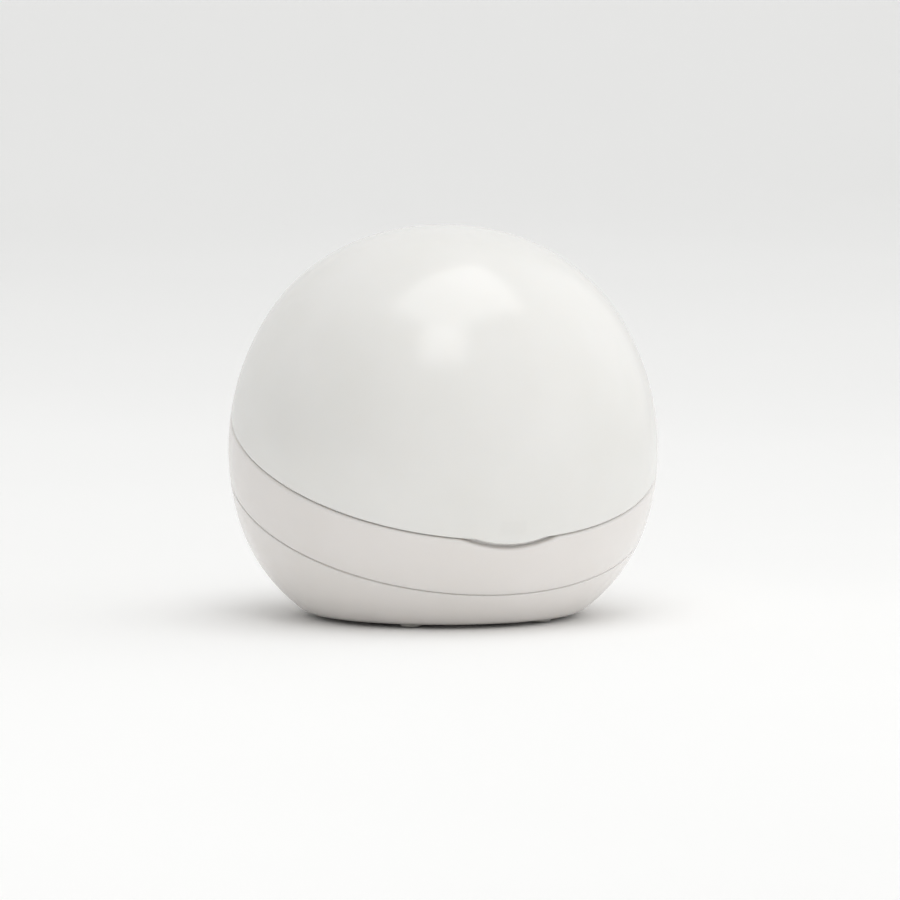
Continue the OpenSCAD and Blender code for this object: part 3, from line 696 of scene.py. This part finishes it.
def dress(piece, *finishes):
    """Puts finishes into a piece's material slots."""
    if not piece.material_slots:
        piece.data.materials.append(finishes[0])
    for i, slot in enumerate(piece.material_slots):
        slot.material = finishes[min(i, len(finishes) - 1)]


def fit(piece, body, skin, node=None):
    """Dresses a new piece and hangs it on its body; it may stand for a node."""
    dress(piece, skin)
    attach(piece, body)
    if node:
        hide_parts(node)


fit(lid_skin, "lid", lid_abs, "lid_shell")
fit(lid_knuckle, "lid", lid_abs)
fit(lid_lining, "lid", satin_pp, "lid_liner")
fit(belt_skin, "base", base_abs, "belt_shell")
for piece in (scoop_back, register_ring, bowl_spigot, base_knuckle_right, base_knuckle_left, deck_ledge, pin_guide):
    fit(piece, "base", base_abs)
fit(bowl_skin, "base", base_abs, "bowl_shell")
fit(deck_plate, "base", satin_pp, "deck")
fit(clear_well, "base", clear_pc, "teat_cup")
fit(side_button, "button", button_abs, "power_button")

KEPT = {
    "latch_hook": [satin_pp],
    "hinge_pin": [plated_steel],
    "catch_leaf": [spring_steel],
    "uv_lamp": [lamp_quartz],
    "lamp_holder": [holder_nylon],
    "lamp_reflector": [bright_aluminium],
    "control_board": [laminate],
    "board_transformer": [ferrite, tape],
    "board_capacitors": [sleeve],
    "controller_chip": [chip_resin, plated_steel],
    "board_screws": [screw_steel],
    "switch_board": [laminate],
    "tact_switch": [chip_resin, plated_steel],
    "status_led": [lens_resin],
    "lid_switch": [chip_resin],
    "lid_switch_pin": [holder_nylon],
    "battery_tray": [holder_nylon],
    "battery_cells": [cell_can],
    "battery_springs": [spring_steel],
    "battery_plates": [plated_steel],
    "battery_door": [base_abs],
    "door_screws": [screw_steel],
    "case_screws": [screw_steel],
    "deck_screws": [screw_steel],
    "foot_pads": [rubber],
}
for node, finishes in KEPT.items():
    dress(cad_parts[node], *finishes)

# ---- floor, light and camera ----

STAGE = 4  # metres
STAGE_UP = 2.5
STAGE_EDGE = STAGE / 2 - 0.1
# matt painted board, swept up behind the object: near white, with no shine to mirror it
board = finish("matt_painted_board", "#f9f9f8", "#fbfbfa", 300, 2, 0.01, 0.7, 0.05)
sweep = add("plane", "sweep", size=STAGE, location=(0, 0, -0.0002))
settle(sweep)
edit(sweep)
pick(sweep, "EDGE", lambda middle, part: middle.y > STAGE_EDGE)
bpy.ops.mesh.extrude_region_move(TRANSFORM_OT_translate={"value": (0, 0, STAGE_UP)})
pick(
    sweep, "EDGE",
    lambda middle, part: middle.y > STAGE_EDGE and abs(middle.z) < 0.1 and len(part.link_faces) == 2,
)
bpy.ops.mesh.bevel(offset=0.8, segments=24, affect="EDGES")
done()
bpy.ops.object.shade_smooth_by_angle(angle=math.radians(60))
dress(sweep, board)

world = bpy.data.worlds.new("studio")
bpy.context.scene.world = world
world.use_nodes = True
# the room's light from left to right, as (place, level): dimmer from the left, and brighter from the right
ROOM = ((0.0, 0.36), (0.28, 0.74), (0.72, 0.78), (0.86, 1.0))
sky = world.node_tree
towards = put(sky, "TexCoord").outputs["Generated"]
across = put(sky, "SeparateXYZ", Vector=towards).outputs["X"]
share = put(sky, "MapRange", Value=across, From_Min=-1.0, From_Max=1.0).outputs["Result"]
room = put(sky, "ValToRGB", Fac=share)
room.color_ramp.interpolation = "EASE"
for i, (place, level) in enumerate(ROOM):
    stop = room.color_ramp.elements[i] if i < 2 else room.color_ramp.elements.new(place)
    stop.position = place
    stop.color = (level, level, level, 1)
sky.links.new(room.outputs["Color"], sky.nodes["Background"].inputs["Color"])

POD = Vector((0, 0, 35.6)) * MM
AZIMUTH = math.radians(-19.5)
PITCH = math.radians(5.3)
DISTANCE = 2.15  # metres
AIM_RIGHT, AIM_DOWN = 1.46, 0.38
SENSOR = 36
FOCAL = 401.6
back = Vector((math.sin(AZIMUTH) * math.cos(PITCH), -math.cos(AZIMUTH) * math.cos(PITCH), math.sin(PITCH)))
right = Vector((0, 0, 1)).cross(back).normalized()
above = back.cross(right)


def softbox(name, towards, far, size, power):
    """A soft light whose direction from the pod is given to the camera's right, upwards and towards the camera."""
    spot = POD + (right * towards[0] + above * towards[1] + back * towards[2]).normalized() * far
    light = bpy.data.lights.new(name, "AREA")
    light.shape = "RECTANGLE"
    light.size, light.size_y = size
    light.energy = power
    lamp = bpy.data.objects.new(name, light)
    lamp.location = spot
    lamp.rotation_euler = (POD - spot).to_track_quat("-Z", "Y").to_euler()
    bpy.context.collection.objects.link(lamp)


softbox("ceiling", (0.1, 1, 0.2), 1.2, (1.1, 0.8), 4)
softbox("front", (0.0, 0.73, 0.68), 1.2, (0.5, 0.35), 1.0)

lens = bpy.data.cameras.new("camera")
lens.sensor_width = SENSOR
lens.lens = FOCAL
camera = bpy.data.objects.new("camera", lens)
aim = POD + right * AIM_RIGHT * MM - above * AIM_DOWN * MM
camera.location = aim + back * DISTANCE
camera.rotation_euler = back.to_track_quat("Z", "Y").to_euler()
bpy.context.collection.objects.link(camera)
bpy.context.scene.camera = camera
bpy.context.scene.view_settings.view_transform = "Standard"
